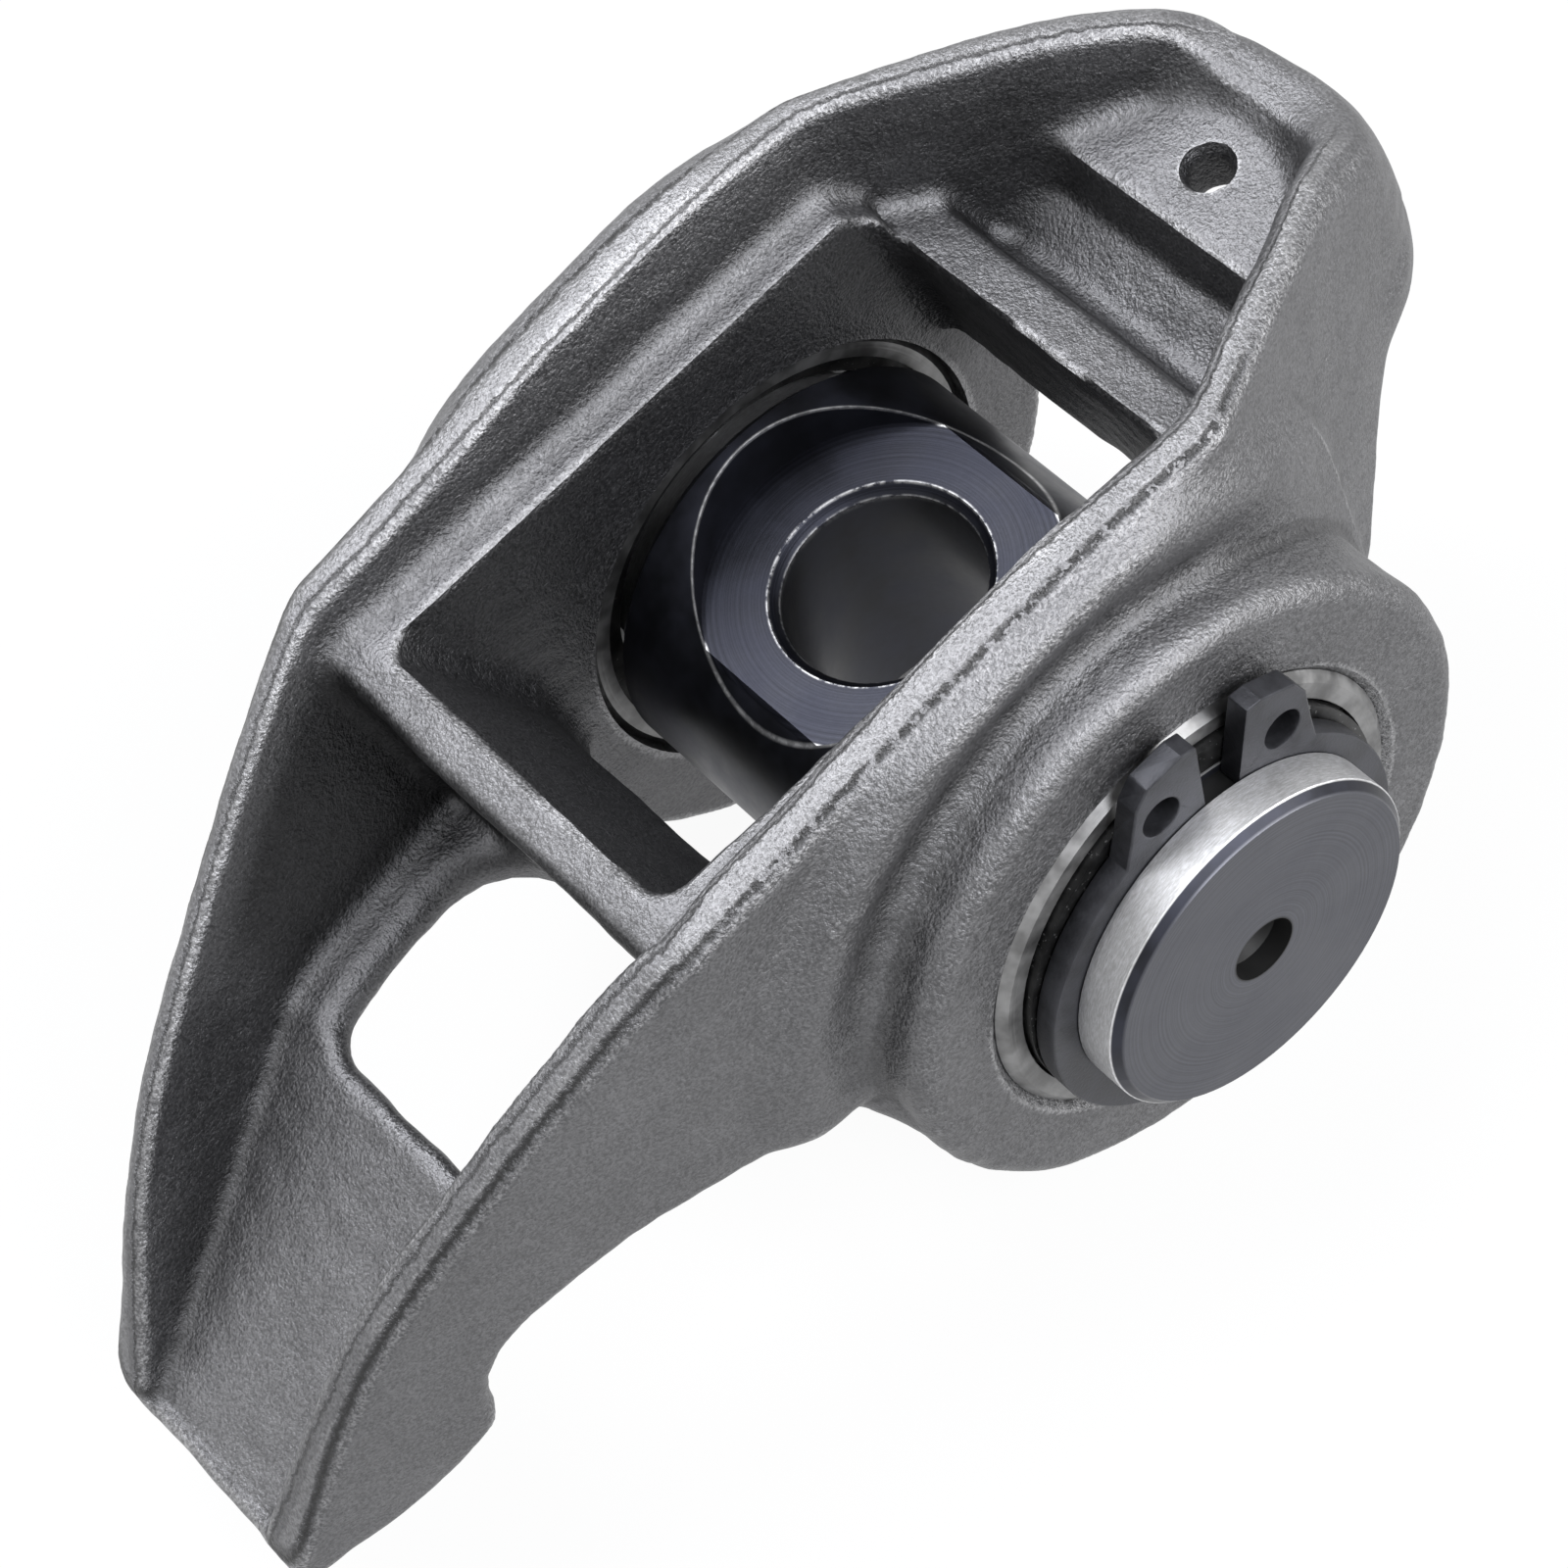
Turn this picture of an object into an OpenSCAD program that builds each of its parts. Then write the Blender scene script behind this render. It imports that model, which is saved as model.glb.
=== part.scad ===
// Valve rocker arm with a needle-bearing trunnion, in millimetres.
// Origin: centre of the trunnion, on the pivot axis. +X points at the valve tip,
// +Y runs along the trunnion and +Z up the hold-down bolt.

/* [Trunnion] */

// Diameter of the bearing journals
journal_d = 14.6; // [12:0.1:18]

// Overall length of the trunnion
trunnion_length = 38.2; // [30:0.1:46]

// Diameter of the centre block
block_d = 17.8; // [16:0.1:19]

// Width of the centre block along the pivot
block_w = 16.2; // [14:0.1:17]

// Diameter of the hold-down bolt hole
bolt_hole_d = 8.2; // [6.4:0.1:10.5]

// Diameter of the spotface round the bolt hole
spotface_d = 14.24; // [12:0.02:16]

// Height of the spotface above the pivot
spotface_z = 6.26; // [5:0.02:7]

// Depth of the flat seat below the pivot
seat_z = 6.3; // [5:0.1:7.5]

// Diameter of the lathe centre hole in each end
centre_hole_d = 2.8; // [2:0.1:4]

/* [Needle bearings] */

// Needles in each bearing
needle_count = 14; // [8:1:16]

// Diameter of one needle
needle_d = 1.8; // [1.5:0.1:2.5]

// Length of one needle
needle_length = 4.8; // [3:0.1:5]

// Outside diameter of the drawn cup
cup_d = 19.42; // [18:0.02:22]

// Diameter of the opening inside the cup's turned-in lips
cup_lip_d = 17.4; // [16:0.1:18]

/* [Snap rings] */

// Thickness of a snap ring
ring_t = 1.0; // [0.8:0.1:1.2]

// Distance from the pivot's middle to a ring's outer face
ring_face_y = 17.0; // [16.4:0.1:18]

// Direction of the ring's gap, seen from +Y, from +X towards +Z
ring_gap_angle = 105.5; // [0:0.5:360]

/* [Arm casting] */

// Diameter of the bearing bosses
boss_d = 26.8; // [24:0.1:32]

// Distance from the middle to a boss's outer face
boss_face_y = 15.46; // [14:0.02:17]

// Distance from the middle to a boss's inner face
boss_inner_y = 8.29; // [8:0.01:9]

// Thickness of the side walls
wall_t = 1.9; // [1.6:0.1:3]

// Half the width between the side walls at the window
channel_half_w = 10.25; // [9:0.05:11]

// Height of the ledges along the window
ledge_z = 13.4; // [12:0.1:15]

// Distance from the pivot to the valve tip's end
tip_x = 41.5; // [36:0.1:46]

// Distance from the pivot to the middle of the pushrod cup
cup_x = 19.05; // [17:0.05:22]

// Radius of the rounded pushrod end
pushrod_end_r = 6.55; // [5.5:0.05:7]

// Radius of the pushrod ball's seat
ball_r = 4.0; // [3.5:0.1:5]

// Diameter of the oil hole above the pushrod seat
oil_hole_d = 2.5; // [1.5:0.1:3]

// Crown radius of the valve pad
pad_r = 12.2; // [9:0.1:20]

/* [Hidden] */

$fn = 96;
eps = 0.01;
SIDES = ["near", "far"];

journal_r = journal_d / 2;
needle_r = needle_d / 2;
running_gap = 0.025;
pitch_r = journal_r + running_gap + needle_r;
raceway_r = pitch_r + needle_r + running_gap;
lip_t = 0.55;
cup_inner_end_y = 8.7;
cup_outer_end_y = boss_face_y + 0.12;
cage_inner_end_y = cup_inner_end_y + lip_t + 0.1;
cage_outer_end_y = cage_inner_end_y + 5.5;
washer_inner_end_y = cage_outer_end_y + 0.15;
washer_outer_end_y = ring_face_y - ring_t - 0.08;
groove_r = journal_r - 0.4;
press = 0.01;

function two_digits(i) = str(i < 10 ? "0" : "", i);
needle_names = [for (side = SIDES, i = [1:needle_count]) str("needle_", side, "_", two_digits(i))];

arm_casting();
trunnion();
for (side = SIDES) {
    on_side(side) bearing_cup();
    on_side(side) needle_cage();
    on_side(side) thrust_washer();
    on_side(side) snap_ring();
    for (i = [1:needle_count])
        on_side(side) needle(i);
}

// Shared helpers

// Point at radius r and angle a.
function polar(r, a) = [r * cos(a), r * sin(a)];

// One point of the smooth curve through a, b, c and d, between b and c.
function curve_point(a, b, c, d, t) =
    0.5 * ((2 * b) + (c - a) * t + (2 * a - 5 * b + 4 * c - d) * t * t + (3 * b - a - 3 * c + d) * t * t * t);

// Smooth curve through all the points given, with n steps between neighbours.
function smooth_path(p, n = 4) = let (last = len(p) - 1) concat(
    [for (i = [0:last - 1], k = [0:n - 1])
        curve_point(p[max(i - 1, 0)], p[i], p[i + 1], p[min(i + 2, last)], k / n)],
    [p[last]]);

function without_first(p) = [for (i = [1:len(p) - 1]) p[i]];
function reversed(p) = [for (i = [len(p) - 1:-1:0]) p[i]];

// A symmetrical outline: the points given, then the same on the other side.
function both_sides(p) = concat(p, [for (q = reversed(p)) [q[0], -q[1]]]);

// The far side is the near side's mirror image across the middle plane.
module on_side(side) {
    if (side == "near") children();
    else mirror([0, 1, 0]) children();
}

// Turns a profile drawn as [radius, distance along the pivot] about the pivot axis.
module turn_about_pivot() {
    rotate([-90, 0, 0]) rotate_extrude() children();
}

// Stands a side-view outline drawn as [x, z] up as a slab of width w across the middle plane.
module side_slab(w) {
    rotate([90, 0, 0]) linear_extrude(w, center = true) children();
}

// Round bar along the pivot, from distance y0 to y1.
module pivot_bar(r, y0, y1) {
    translate([0, y0, 0]) rotate([-90, 0, 0]) cylinder(r = r, h = y1 - y0);
}

// Trunnion: two journals and a round centre block, spotfaced on top and flat below

module trunnion() {
    chamfer = 0.4;
    half = trunnion_length / 2;
    color([0.30, 0.31, 0.33]) difference() {
        union() {
            turn_about_pivot() polygon([
                [0, -half], [journal_r - chamfer, -half], [journal_r, chamfer - half],
                [journal_r, half - chamfer], [journal_r - chamfer, half], [0, half]]);
            turn_about_pivot() block_profile();
        }
        bolt_hole();
        for (side = SIDES) on_side(side) {
            ring_groove();
            centre_hole();
        }
        flat_seat();
    }
}

module block_profile() {
    r = block_d / 2;
    h = block_w / 2;
    edge = 0.5;
    polygon([[0, -h], [r - edge, -h], [r, edge - h], [r, h - edge], [r - edge, h], [0, h]]);
}

// Everything below the flat seat, which runs just past both ends of the block.
module flat_seat() {
    relief = 0.1;
    translate([-block_d, -block_w / 2 - relief, -seat_z - block_d])
        cube([2 * block_d, block_w + 2 * relief, block_d]);
}

// Spotface and through hole, with a chamfer at each mouth of the hole.
module bolt_hole() {
    r = bolt_hole_d / 2;
    chamfer = 0.4;
    translate([0, 0, spotface_z]) cylinder(d = spotface_d, h = block_d);
    cylinder(r = r, h = 4 * block_d, center = true);
    translate([0, 0, spotface_z - chamfer]) cylinder(r1 = r, r2 = r + chamfer + eps, h = chamfer + eps);
    translate([0, 0, -seat_z - eps]) cylinder(r1 = r + chamfer + eps, r2 = r, h = chamfer + eps);
}

module ring_groove() {
    play = 0.05;
    difference() {
        pivot_bar(journal_r + 1, ring_face_y - ring_t - play, ring_face_y + play);
        pivot_bar(groove_r, 0, trunnion_length);
    }
}

// Cone from the lathe centre with the small pilot hole at its bottom.
module centre_hole() {
    r = centre_hole_d / 2;
    half = trunnion_length / 2;
    turn_about_pivot() polygon([
        [0, half - 3.6], [0.6, half - 3.4], [0.6, half - 2.2], [r, half - 0.9],
        [r, half + 1], [0, half + 1]]);
}

// Needle bearing: drawn cup, cage and loose needles

module bearing_cup() {
    r = cup_d / 2 + press;
    lip_r = cup_lip_d / 2;
    corner = 0.35;
    y0 = cup_inner_end_y;
    y1 = cup_outer_end_y;
    color([0.66, 0.66, 0.66]) turn_about_pivot() polygon([
        [lip_r, y0], [r - corner, y0], [r, y0 + corner], [r, y1 - corner], [r - corner, y1], [lip_r, y1],
        [lip_r, y1 - lip_t], [raceway_r, y1 - lip_t], [raceway_r, y0 + lip_t], [lip_r, y0 + lip_t]]);
}

module needle_cage() {
    pocket_r = needle_r + 0.06;
    pocket_length = needle_length + 0.12;
    middle_y = (cage_inner_end_y + cage_outer_end_y) / 2;
    color([0.16, 0.16, 0.17]) difference() {
        turn_about_pivot() translate([pitch_r - 0.55, cage_inner_end_y])
            square([1.05, cage_outer_end_y - cage_inner_end_y]);
        for (i = [1:needle_count]) at_needle(i)
            pivot_bar(pocket_r, middle_y - pocket_length / 2, middle_y + pocket_length / 2);
    }
}

module needle(i) {
    middle_y = (cage_inner_end_y + cage_outer_end_y) / 2;
    color([0.72, 0.72, 0.73]) at_needle(i)
        pivot_bar(needle_r, middle_y - needle_length / 2, middle_y + needle_length / 2);
}

// Moves a piece from the pivot axis out to the place of needle i.
module at_needle(i) {
    rotate([0, (i - 0.5) * 360 / needle_count, 0]) translate([pitch_r, 0, 0]) children();
}

module thrust_washer() {
    color([0.10, 0.10, 0.11]) turn_about_pivot()
        translate([journal_r + 0.06, washer_inner_end_y])
            square([cup_lip_d / 2 - 0.12 - journal_r - 0.06, washer_outer_end_y - washer_inner_end_y]);
}

// Snap ring: an eccentric band, open at the top between two eared ends

module snap_ring() {
    color([0.09, 0.09, 0.10]) translate([0, ring_face_y, 0]) rotate([90, 0, 0])
        linear_extrude(ring_t) ring_outline();
}

// Seen from the near end, as [x, z]: the band is widest opposite its gap
module ring_outline() {
    bore_r = groove_r + 0.05;
    band_r = 8.45;
    band_shift = 0.42;
    gap_half_angle = 6.5;
    ear_hole_r = 0.85;
    ear_hole_at = 8.8;
    ear_hole_angle = 19.5;
    rotate(ring_gap_angle) difference() {
        union() {
            translate([-band_shift, 0]) circle(band_r);
            for (side = [-1, 1]) ring_ear(side, bore_r);
        }
        circle(bore_r);
        polygon([[0, 0], polar(14, -gap_half_angle), polar(14, gap_half_angle)]);
        for (side = [-1, 1])
            translate(polar(ear_hole_at, side * ear_hole_angle)) circle(ear_hole_r, $fn = 32);
    }
}

// Ear on one side of the gap, with its flank sloping back to the band.
module ring_ear(side, bore_r) {
    corners = [
        [bore_r - 1, 1], [10.6, 1], [10.95, 10], [10.9, 19], [10.3, 23.5], [9, 29], [7.7, 38],
        [bore_r - 1, 38]];
    polygon([for (corner = side > 0 ? corners : reversed(corners)) polar(corner[0], side * corner[1])]);
}

// Arm casting: an open-topped channel with two bosses, a valve tip and a pushrod seat

module arm_casting() {
    color([0.46, 0.46, 0.47]) difference() {
        union() {
            hollowed_body();
            pushrod_barrel();
        }
        for (side = SIDES) on_side(side) bearing_pocket();
        pushrod_seat();
        oil_hole();
    }
}

module hollowed_body() {
    difference() {
        union() {
            channel_body();
            for (side = SIDES) on_side(side) {
                boss();
                boss_skirt();
            }
        }
        tip_channel();
        middle_channel();
        rear_channel();
        main_window();
        tip_window();
        rear_hollow();
    }
}

// Inner faces of the side walls at the rim, as seen from above: the two bends and the tip
front_bend = [16.5, channel_half_w - 0.15];
rear_bend = [-9.3, channel_half_w + 0.1];
tip_corner = [tip_x, 4.25];
outward = [0, wall_t];
cup_at = [-cup_x, 0];

// Half the channel's width at the place x in front of the front bend.
function front_half_w(x) =
    let (fall = tip_corner - front_bend) front_bend[1] + (x - front_bend[0]) * fall[1] / fall[0];

// Where a line from the point p touches the circle of radius r round the point c.
function tangent_point(p, c, r) =
    let (d = p - c) c + polar(r, atan2(d[1], d[0]) + acos(r / norm(d)));

// Outer faces of the side walls, as seen from above, from the pushrod end to the valve tip
outer_rail = [
    tangent_point(rear_bend + outward, cup_at, pushrod_end_r), rear_bend + outward, front_bend + outward,
    tip_corner + outward];

// Heights of the rim's crest, with a kink above the front bend
rear_crest = [[-26, 7], [-25, 10.6], [-23, 13.3], [-19.4, 15.4], [-14.5, 16.5], [-8, 17.2], [-2, 17.35],
    [6, 16.75], [12, 16], [16.8, 15.4]];
front_crest = [[16.8, 15.4], [20.8, 13.4], [26.5, 9.7], [32.8, 5], [36.4, 1], [39.7, -3.8], [42.5, -8]];
crest = concat(smooth_path(rear_crest), without_first(smooth_path(front_crest)));

// Underside: behind the valve pad's heel, and from the boss up to the pushrod end
heel_path = [[31.4, -4.2], [30.9, -2.2], [29.6, -0.6], [27.4, 0.3], [23.7, 1], [18, 0.6]];
rear_path = [[-13, -2.8], [-15.2, -1.6], [-16.6, 0.4], [-18.4, 2.2], [-20.6, 3.4], [-23, 4.3], [-26, 6]];

// Outer shape: the views from above and from the side cut through each other, with the rim bevelled
module channel_body() {
    intersection() {
        translate([0, 0, -20]) linear_extrude(60) body_plan();
        side_slab(60) body_side();
        on_side("near") below_bevel();
        on_side("far") below_bevel();
    }
}

module body_plan() {
    nose_r = 1.2;
    nose = tip_corner + outward - [nose_r, nose_r];
    polygon(both_sides([outer_rail[0], outer_rail[1], outer_rail[2], nose + [0, nose_r]]));
    for (side = [-1, 1]) translate([nose[0], side * nose[1]]) circle(nose_r);
    translate([nose[0] - eps, -nose[1]]) square([nose_r + eps, 2 * nose[1]]);
    translate(cup_at) circle(pushrod_end_r);
}

module body_side() {
    heel = heel_path[0];
    pad_bottom_x = 39.3;
    pad_bottom_z = -7.6;
    difference() {
        polygon(concat(
            crest, [[tip_x + 1, -20], [heel[0], -20]], smooth_path(heel_path),
            [[13, 0.4], [-11, 0.4]], smooth_path(rear_path)));
        // The valve pad is a crowned face: everything outside its arc goes
        difference() {
            translate([heel[0] - eps, -21]) square([tip_x - heel[0] + 2, 21 + heel[1]]);
            translate([pad_bottom_x, pad_bottom_z + pad_r]) circle(pad_r);
        }
    }
}

// Everything below a 45 degree slope that takes off the near side's outer edge along the crest
module below_bevel() {
    bevel = 0.7;
    along = concat(rear_crest, without_first(front_crest));
    slope = [for (p = along) [p[0], (p[1] + lookup(p[0], outer_rail) - bevel) / sqrt(2)]];
    rotate([-45, 0, 0]) side_slab(140) polygon(concat(slope, [[tip_x + 1, -60], [-26, -60]]));
}

// Front web across the channel, in side view: the front face and the rear edge of its top
web_front_top = [17.8, 12.1];
web_rear_top = [16, ledge_z];

// The channel towards the valve: walls drafted in to a floor that falls to the tip
module tip_channel() {
    intersection() {
        hull() for (z = [-9, 20]) translate([0, 0, z]) linear_extrude(eps) tip_channel_plan(z);
        side_slab(40) polygon([
            [web_front_top[0], 30], web_front_top, [16.5, 2.8], [24.6, 2.8], [26.6, 2.4],
            [tip_x - 0.4, -6.9], [tip_x + 2, -8.2], [tip_x + 2, 30]]);
    }
}

// The channel's width at height z: the walls close in by the draft below the rim.
module tip_channel_plan(z) {
    draft = 0.12;
    start_x = 14;
    end_x = tip_x + 1;
    start_w = front_half_w(start_x) - draft * (15.5 - z);
    end_w = front_half_w(end_x) - draft * (-6 - z);
    polygon(both_sides([[start_x, start_w], [end_x, end_w]]));
}

// Above the window: the space between the walls, down to the ledges and the two cross webs
module middle_channel() {
    end_x = web_front_top[0] + 0.4;
    intersection() {
        translate([0, 0, 5]) linear_extrude(30)
            polygon(both_sides([rear_bend, front_bend, [end_x, front_half_w(end_x)]]));
        side_slab(40) polygon([
            [rear_bend[0] - 0.1, 30], [rear_bend[0] - 0.1, 12.2], [-8.2, ledge_z], web_rear_top,
            web_front_top, [end_x, 30]]);
    }
}

// Towards the pushrod: a low rear web, a pocket behind it and the flat pad over the pushrod seat
module rear_channel() {
    pad_z = 11.4;
    pad_front_x = -16.4;
    web_top_z = 11.2;
    pocket_z = 7;
    inner_r = pushrod_end_r - wall_t;
    // Behind the pad the floor rises into the rounded end, where the rim runs out
    end_rise = [[-21.8, pad_z + 0.2], [-22.6, pad_z + 0.55], [-23.4, pad_z + 1.3], [-24.2, pad_z + 2.6]];
    intersection() {
        translate([0, 0, 5]) linear_extrude(30) {
            polygon(both_sides([tangent_point(rear_bend, cup_at, inner_r), rear_bend, rear_bend + [0.2, 0]]));
            translate(cup_at) circle(inner_r);
        }
        side_slab(40) polygon(concat([
            [-9.2, 30], [-9.2, 12], [-9.7, web_top_z], [-11.7, web_top_z - 0.3], [-12.1, pocket_z + 0.8],
            [-12.8, pocket_z], [-13.8, pocket_z], [-14.8, pocket_z + 0.5], [-15.6, pocket_z + 1.6],
            [pad_front_x, pad_z]], smooth_path(end_rise), [[-24.2, 30]]));
    }
}

// Ring round the bearing, turned as [radius, distance along the pivot] with a rounded outer edge
module boss() {
    r = boss_d / 2;
    edge = 0.8;
    turn_about_pivot() polygon(concat(
        [[0, boss_inner_y], [r - edge, boss_inner_y], [r, boss_inner_y + edge]],
        [for (a = [0:15:90]) [r - edge, boss_face_y - edge] + polar(edge, a)],
        [[0, boss_face_y]]));
}

// Hollow round the boss and the soft ridge beyond it, which run out into the side wall
module boss_skirt() {
    r = boss_d / 2;
    base_y = boss_inner_y + 0.1;
    ridge = [[0, 14], [0.6, 13.2], [1.4, 13], [2.7, 13.35], [3.7, 13], [4.4, 11.8]];
    intersection() {
        turn_about_pivot() translate([r, 0]) polygon(concat(
            [[-1, base_y], [-1, 14.2]], smooth_path(ridge, 3), [[4.4, base_y]]));
        side_slab(60) body_side();
        translate([0, 0, -20]) linear_extrude(60) polygon([
            [-14, base_y], [-14, 10.6], [-6.5, 14.5], [12, 14.5], [18.5, 11.8], [18.5, base_y]]);
    }
}

// Through hole for the pressed-in cup, with a chamfer at each mouth
module bearing_pocket() {
    r = cup_d / 2;
    chamfer = 0.3;
    pivot_bar(r, 0, boss_face_y + 2);
    turn_about_pivot() polygon([
        [0, boss_face_y - chamfer], [r, boss_face_y - chamfer], [r + chamfer, boss_face_y],
        [r + chamfer, boss_face_y + 1], [0, boss_face_y + 1]]);
    turn_about_pivot() polygon([
        [0, boss_inner_y - 1], [r + chamfer, boss_inner_y - 1], [r + chamfer, boss_inner_y],
        [r, boss_inner_y + chamfer], [0, boss_inner_y + chamfer]]);
}

// Window that the trunnion's block and bolt stand in, between the bosses' inner faces
module main_window() {
    side_slab(2 * boss_inner_y) polygon([
        [-9.7, 30], [-9.7, 10], [-10.3, under_rear_z], [-10.3, -20], [16, -20], [11.5, 0], [12.1, 5],
        [15.6, 13.6], [15.6, 30]]);
}

// Underside between the bosses and the pushrod barrel
under_rear_z = 4.2;

module rear_hollow() {
    translate([0, 0, -20]) linear_extrude(20 + under_rear_z)
        polygon(both_sides([[-16.6, 6.1], [-13.2, boss_inner_y], [-10, boss_inner_y]]));
}

// Round barrel that holds the pushrod seat and stands down from the floor of the rear pocket
module pushrod_barrel() {
    bottom_z = 3.4;
    top_z = 6.5;
    edge = 0.8;
    r = pushrod_end_r - 0.05;
    translate([-cup_x, 0, 0]) rotate_extrude() polygon([
        [0, bottom_z], [r - edge, bottom_z], [r - edge / 4, bottom_z + edge], [r, bottom_z + 2 * edge],
        [r, top_z], [0, top_z]]);
}

// Rounded window through the floor, between the front web and the valve tip
module tip_window() {
    corner_r = 1.8;
    rear_x = 16.2;
    front_x = 26.5;
    rear_half_w = 5.7;
    front_half_w = 4.9;
    translate([0, 0, -1]) linear_extrude(5) union() {
        polygon([
            [rear_x, -rear_half_w], [front_x - corner_r, -front_half_w], [front_x, corner_r - front_half_w],
            [front_x, front_half_w - corner_r], [front_x - corner_r, front_half_w], [rear_x, rear_half_w]]);
        for (side = [-1, 1])
            translate([front_x - corner_r, side * (front_half_w - corner_r)]) circle(corner_r);
    }
}

// Ball seat under the pad, with a mouth that widens downwards
module pushrod_seat() {
    seat_top_z = 9.1;
    mouth_z = 0.4;
    mouth_h = 5.2;
    translate([-cup_x, 0, seat_top_z - ball_r]) sphere(ball_r);
    translate([-cup_x, 0, mouth_z]) cylinder(r1 = ball_r + 2.9, r2 = ball_r - 0.05, h = mouth_h);
}

module oil_hole() {
    translate([-cup_x, 0, 6]) cylinder(d = oil_hole_d, h = 12, $fn = 48);
}
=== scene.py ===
"""A cast valve rocker arm on its needle-bearing trunnion, on a pale floor in soft studio light."""
import math

import bpy
import numpy as np
from mathutils import Matrix, Vector


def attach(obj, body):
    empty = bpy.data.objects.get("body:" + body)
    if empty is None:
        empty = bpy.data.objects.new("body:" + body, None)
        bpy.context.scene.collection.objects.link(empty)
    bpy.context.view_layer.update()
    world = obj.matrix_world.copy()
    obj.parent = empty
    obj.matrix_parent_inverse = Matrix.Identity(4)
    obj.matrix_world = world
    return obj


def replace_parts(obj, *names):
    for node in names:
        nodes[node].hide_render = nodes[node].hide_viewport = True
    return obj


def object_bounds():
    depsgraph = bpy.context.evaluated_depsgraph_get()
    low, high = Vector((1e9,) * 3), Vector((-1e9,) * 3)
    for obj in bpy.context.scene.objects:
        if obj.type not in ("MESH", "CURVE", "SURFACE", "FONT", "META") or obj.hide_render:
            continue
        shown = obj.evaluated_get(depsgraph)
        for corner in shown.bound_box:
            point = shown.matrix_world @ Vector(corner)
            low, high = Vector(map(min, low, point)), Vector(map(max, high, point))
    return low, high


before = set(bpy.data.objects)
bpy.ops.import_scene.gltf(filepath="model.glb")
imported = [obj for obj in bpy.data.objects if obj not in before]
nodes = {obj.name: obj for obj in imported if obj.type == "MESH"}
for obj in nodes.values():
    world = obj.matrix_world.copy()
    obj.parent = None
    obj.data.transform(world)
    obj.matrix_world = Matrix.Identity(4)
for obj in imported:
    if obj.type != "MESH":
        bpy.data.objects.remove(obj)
cad_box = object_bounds()
MM = 0.001


# Outlines and smooth forms, in millimetres. A form is a signed distance, negative inside.

def smooth_path(points, steps=4):
    """A smooth curve through all the points."""
    points = np.array(points, float)
    ends = np.vstack([points[0], points, points[-1]])
    curve = []
    for a, b, c, d in zip(ends, ends[1:], ends[2:], ends[3:]):
        for k in range(steps):
            t = k / steps
            curve.append(0.5 * (2 * b + (c - a) * t + (2 * a - 5 * b + 4 * c - d) * t ** 2
                                + (3 * b - a - 3 * c + d) * t ** 3))
    return [tuple(p) for p in curve] + [tuple(points[-1])]


def eased(corners, steps=4):
    """A closed outline whose corners, given as (u, v, radius), are rounded to their radius."""
    outline = []
    for k, (u, v, radius) in enumerate(corners):
        here = np.array([u, v], float)
        if not radius:
            outline.append((u, v))
            continue
        back = np.array(corners[k - 1][:2]) - here
        ahead = np.array(corners[(k + 1) % len(corners)][:2]) - here
        back /= np.linalg.norm(back)
        ahead /= np.linalg.norm(ahead)
        half = math.acos(np.clip(back @ ahead, -1, 1)) / 2
        inward = (back + ahead) / np.linalg.norm(back + ahead)
        centre = here + inward * radius / math.sin(half)
        first = here + back * radius / math.tan(half) - centre
        last = here + ahead * radius / math.tan(half) - centre
        for t in np.linspace(0, 1, steps + 1):
            arm = first * (1 - t) + last * t
            outline.append(tuple(centre + arm * radius / np.linalg.norm(arm)))
    return outline


def both_sides(half):
    """A symmetrical outline: the points given, then the same on the other side of the middle plane."""
    return list(half) + [(u, -v, *radius) for u, v, *radius in reversed(half)]


def outline_form(outline, u, v):
    """The inside of a closed outline."""
    nearest = np.float32(1e9)
    inside = False
    for (u0, v0), (u1, v1) in zip(outline, outline[1:] + outline[:1]):
        du, dv = u1 - u0, v1 - v0
        if du * du + dv * dv < 1e-12:
            continue
        along = np.clip(((u - u0) * du + (v - v0) * dv) / (du * du + dv * dv), 0, 1)
        nearest = np.minimum(nearest, (u - u0 - along * du) ** 2 + (v - v0 - along * dv) ** 2)
        left = du * (v - v0) - dv * (u - u0)
        rising = (v0 <= v) & (v < v1) & (left > 0)
        falling = (v1 <= v) & (v < v0) & (left < 0)
        inside = inside ^ (rising | falling)
    distance = np.sqrt(nearest)
    return np.where(inside, -distance, distance)


def join(a, b, radius):
    """Both forms together, with a fillet of that radius where they meet."""
    corner = np.hypot(np.maximum(radius - a, 0), np.maximum(radius - b, 0))
    return np.maximum(radius, np.minimum(a, b)) - corner


def shared(a, b, radius):
    """What lies in both forms, with its edges rounded to that radius."""
    return -join(-a, -b, radius)


def cut(a, b, radius):
    """The form a without b, with the edges rounded to that radius."""
    return -join(-a, b, radius)


# The arm casting

TIP_X = 41.5
TIP_HALF = 4.25
TIP_FALL = 0.754
WALL = 1.9
DRAFT = 0.12
RIM_R = 0.9
REAR_BEND = (-9.3, 10.35)
FRONT_BEND = (16.5, 10.1)
CUP_X = -19.05
END_R = 6.55
INNER_END_R = END_R - WALL
SEAT_Z = 5.1
BALL_R = 4.0
OIL_R = 0.9
HOLLOW_TOP = 4.2
CROWN_X, CROWN_Z, CROWN_R = 39.3, 4.6, 12.2
BOSS_R = 13.4
BOSS_FACE = 15.46
BOSS_INNER = 8.29
BOSS_ROOT = 7.6
POCKET_R = 9.71
LEAD_IN = 0.32
GRID_PITCH = 0.26
GRID_LOW = (-26.4, -16.35, -14.1)
GRID_HIGH = (42.3, 16.35, 18.6)
MOST_FACES = 92000


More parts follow.
